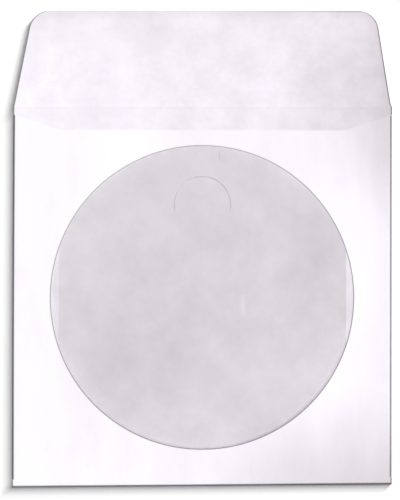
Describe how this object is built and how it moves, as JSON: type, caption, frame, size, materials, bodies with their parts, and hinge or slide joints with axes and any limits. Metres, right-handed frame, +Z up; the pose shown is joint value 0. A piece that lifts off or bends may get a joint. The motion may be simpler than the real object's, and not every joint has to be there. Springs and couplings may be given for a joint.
{
  "type": "paper disc sleeve",
  "caption": "Folded white paper sleeve for an optical disc, with a round clear film window, side tabs, an open flap and a half-moon lock slit in its back.",
  "frame": {"origin": "centre of the outline on the surface that the sleeve lies on, under its back panel", "axes": "+X to the right across the window, +Y from the bottom fold towards the open flap, +Z up out of the window"},
  "size_m": [0.125, 0.157, 0.0026],
  "materials": {
    "paper": "matte",
    "film": "gloss"
  },
  "bodies": {
    "root": {"folded_paper": "paper", "window_film": "film"}
  },
  "joints": []
}
